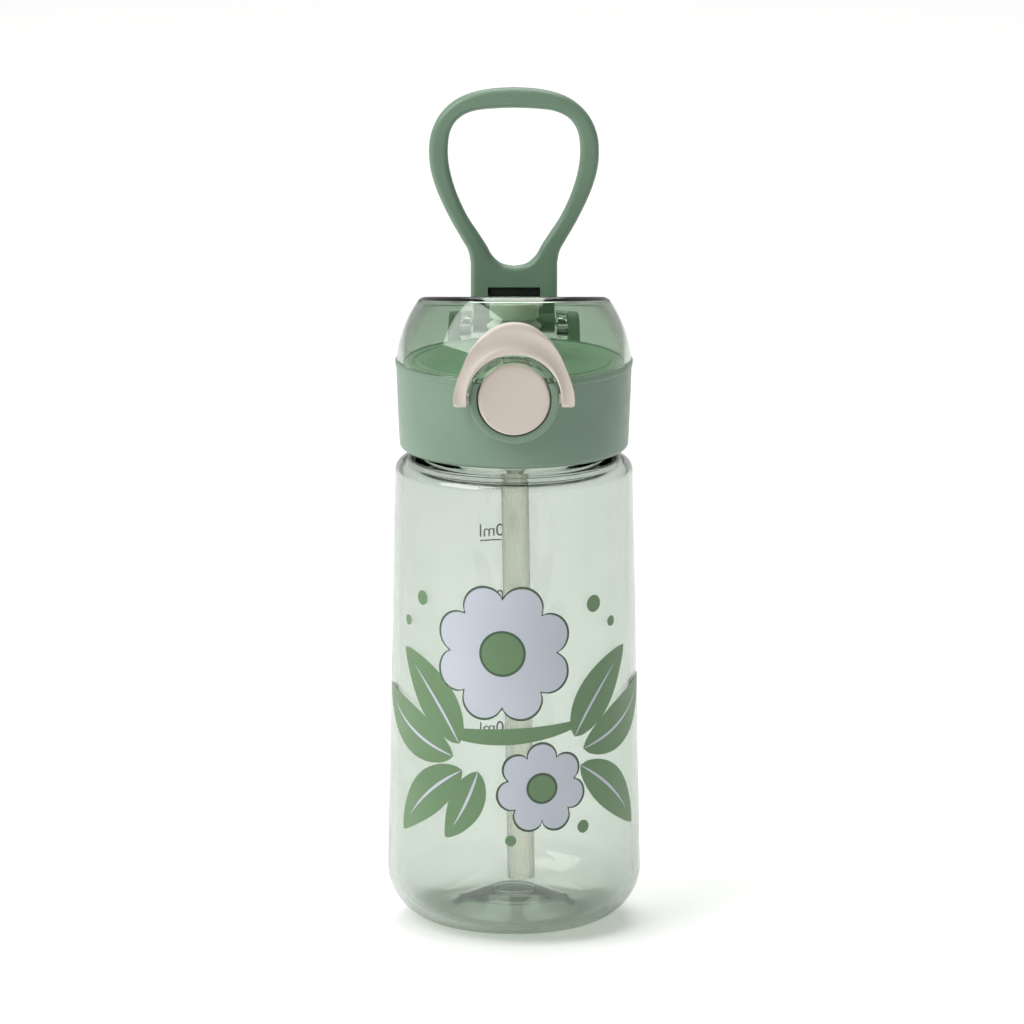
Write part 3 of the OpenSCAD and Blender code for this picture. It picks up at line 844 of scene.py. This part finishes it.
def leaf(x, z, length, width, angle, bend=0.0, steps=26):
    # a plump leaf that starts at (x, z), points along angle and curls by bend
    side = [(i / steps, width / 2 * math.sin(math.pi * (i / steps) ** 0.85) ** 0.75)
            for i in range(steps + 1)]
    rounds = [(a, -b) for a, b in side[:-1]] + [(a, b) for a, b in reversed(side[1:])]
    result = []
    for share, across in rounds:
        way = math.radians(angle + bend * share)
        start = math.radians(angle + bend * share / 2)
        result.append((x + share * length * math.cos(start) - across * math.sin(way),
                       z + share * length * math.sin(start) + across * math.cos(way)))
    return result


def disc(x, z, r):
    return arc(x, z, r, 0, 350, 35)


# a flower: centre, height, radius, petal depth, petals, turn; a leaf: start, length, width, angle, bend
flowers = {"big": (-3.5, 90.5, 21.0, 5.6, 8, 22), "small": (8.5, 49.0, 13.5, 4.0, 7, 90),
           "line": 0.75, "eye": 0.3}
foliage = {"leaves": [(-17, 62, 35, 14, 118, 26), (-19, 58, 38, 14, 166, -24), (-16, 54, 33, 13, 208, 28),
                      (-11, 54, 24, 11, 254, -22), (19, 64, 33, 13.5, 62, -26), (22, 60, 38, 14, 14, 26),
                      (21, 55, 33, 13, -30, -24)],
           "vein": 0.9, "stem": (-26, 66, 52, 5.0, -8, 24),
           "dots": [(-31, 105, 2.2), (26, 104, 2.6), (33.5, 97.5, 1.6), (-38, 97, 1.6), (-1, 33, 1.7),
                    (22, 36, 2.0)]}


def makeDecoration():
    f, g = flowers, foliage
    filmOnWall("stem", [leaf(*g["stem"])], greenInk, 0)
    for name in ("big", "small"):
        x, z, r, depth, count, turn = f[name]
        filmOnWall(name + "BloomOutline", [petals(x, z, r + f["line"], depth, count, turn)], outlineInk, 1)
        filmOnWall(name + "Bloom", [petals(x, z, r, depth, count, turn)], whiteInk, 2)
        filmOnWall(name + "BloomEyeLine", [disc(x, z, r * f["eye"] + f["line"])], outlineInk, 3)
        filmOnWall(name + "BloomEye", [disc(x, z, r * f["eye"])], greenInk, 4)
    for i, values in enumerate(g["leaves"]):
        x, z, length, width, angle, bend = values
        filmOnWall("leaf%d" % (i + 1), [leaf(*values)], greenInk, 1 + i % 2)
        vein = leaf(x, z, length * 0.8, g["vein"], angle, bend * 0.8)
        filmOnWall("vein%d" % (i + 1), [vein], whiteInk, 3)
    for i, values in enumerate(g["dots"]):
        filmOnWall("dot%d" % (i + 1), [disc(*values)], greenInk, 1)


volumes = {"first": 47.0, "step": 21.0, "start": -2.5, "size": 5.6, "tick": (4.0, 11.0), "line": 0.4}


def makeScale():
    # a number and a tick every 100 ml on the back wall, read from behind
    v = volumes
    near, far = v["tick"]
    for i in range(5):
        z, amount = v["first"] + i * v["step"], 100 * (i + 1)
        tick = [(near, z - v["line"]), (far, z - v["line"]), (far, z), (near, z)]
        filmOnWall("tick%d" % amount, [tick], scaleInk, 0, back=True)
        text = bpy.data.curves.new("number", "FONT")
        text.body, text.size, text.extrude = "%dml" % amount, v["size"], ink["film"] / 2
        bm = meshOf("number%d" % amount, text)
        moved(bm, (v["start"], z + 1.1, 0))
        wrapFilm("number%d" % amount, bm, scaleInk, 0, True)


makeDecoration()
makeScale()
print("decoration made")


studio = {"distance": 2.7, "elevation": 12.3, "aim": (-0.0006, 0.0, 0.126), "frameWidth": 0.3103,
          "floor": "#fbfbfa", "glow": 0.2, "roomFront": 0.15, "roomBack": 0.5}


def softbox(name, place, size, power, aim=(0, 0, 0.15)):
    data = bpy.data.lights.new(name, "AREA")
    data.shape, data.size, data.size_y, data.energy = "RECTANGLE", size[0], size[1], power
    lamp = bpy.data.objects.new(name, data)
    bpy.context.scene.collection.objects.link(lamp)
    lamp.location = place
    lamp.rotation_mode = "QUATERNION"
    lamp.rotation_quaternion = (Vector(aim) - Vector(place)).to_track_quat("-Z", "Y")


def makeStudio():
    s = studio
    bm = bmesh.new()
    bmesh.ops.create_grid(bm, x_segments=2, y_segments=2, size=30)
    floor = asObject(bm, "studioFloor")
    material, tree, surface, place = startMaterial("matPaperFloor", IOR=1.45, Emission_Strength=s["glow"])
    surface.inputs["Emission Color"].default_value = (1, 1, 1, 1)
    cloud = addNode(tree, "ShaderNodeTexNoise", "Fac", {"Vector": place, "Scale": 1 / (40 * mm),
                                                        "Detail": 3})
    tooth = addNode(tree, "ShaderNodeTexNoise", "Fac", {"Vector": place, "Scale": 1 / (6 * mm),
                                                        "Detail": 3})
    colour = addNode(tree, "ShaderNodeMix", 2, {"Factor": cloud, 6: linear(s["floor"]),
                                                7: linear("#f9f9f8")},
                     data_type="RGBA")
    gloss = addNode(tree, "ShaderNodeMapRange", "Result", {"Value": tooth, "From Min": 0.3, "From Max": 0.7,
                                                           "To Min": 0.75, "To Max": 0.85})
    link(tree, surface, Base_Color=colour, Roughness=gloss)
    floor.data.materials.append(material)

    # a bright wall behind, a dimmer room in front: clear plastic gets its dark edge lines from the room
    world = bpy.data.worlds.new("studioWorld")
    bpy.context.scene.world = world
    world.use_nodes = True
    tree = world.node_tree
    direction = addNode(tree, "ShaderNodeTexCoord", "Generated")
    depth = addNode(tree, "ShaderNodeSeparateXYZ", "Y", {"Vector": direction})
    level = addNode(tree, "ShaderNodeMapRange", "Result", {"Value": depth, "From Min": -0.2,
                                                           "From Max": 0.5,
                                                           "To Min": s["roomFront"], "To Max": s["roomBack"]})
    tree.links.new(level, tree.nodes["Background"].inputs["Strength"])
    tree.nodes["Background"].inputs["Color"].default_value = (1, 1, 1, 1)

    softbox("keyLeft", (-0.60, -0.36, 0.82), (0.75, 0.75), 7.5)
    softbox("backdropLight", (0, 1.0, 1.7), (1.3, 2.6), 25.0, aim=(0, 1.0, 0))

    camera = bpy.data.cameras.new("camera")
    camera.sensor_width = 36
    camera.lens = 36 * s["distance"] / s["frameWidth"]
    camera.clip_start, camera.clip_end = 0.05, 50
    eye = bpy.data.objects.new("camera", camera)
    bpy.context.scene.collection.objects.link(eye)
    tilt = math.radians(s["elevation"])
    back = Vector((0, -math.cos(tilt), math.sin(tilt)))
    eye.location = Vector(s["aim"]) + back * s["distance"]
    eye.rotation_mode = "QUATERNION"
    eye.rotation_quaternion = (-back).to_track_quat("-Z", "Y")
    bpy.context.scene.camera = eye
    bpy.context.scene.view_settings.view_transform = "Standard"


makeStudio()
print("studio made")
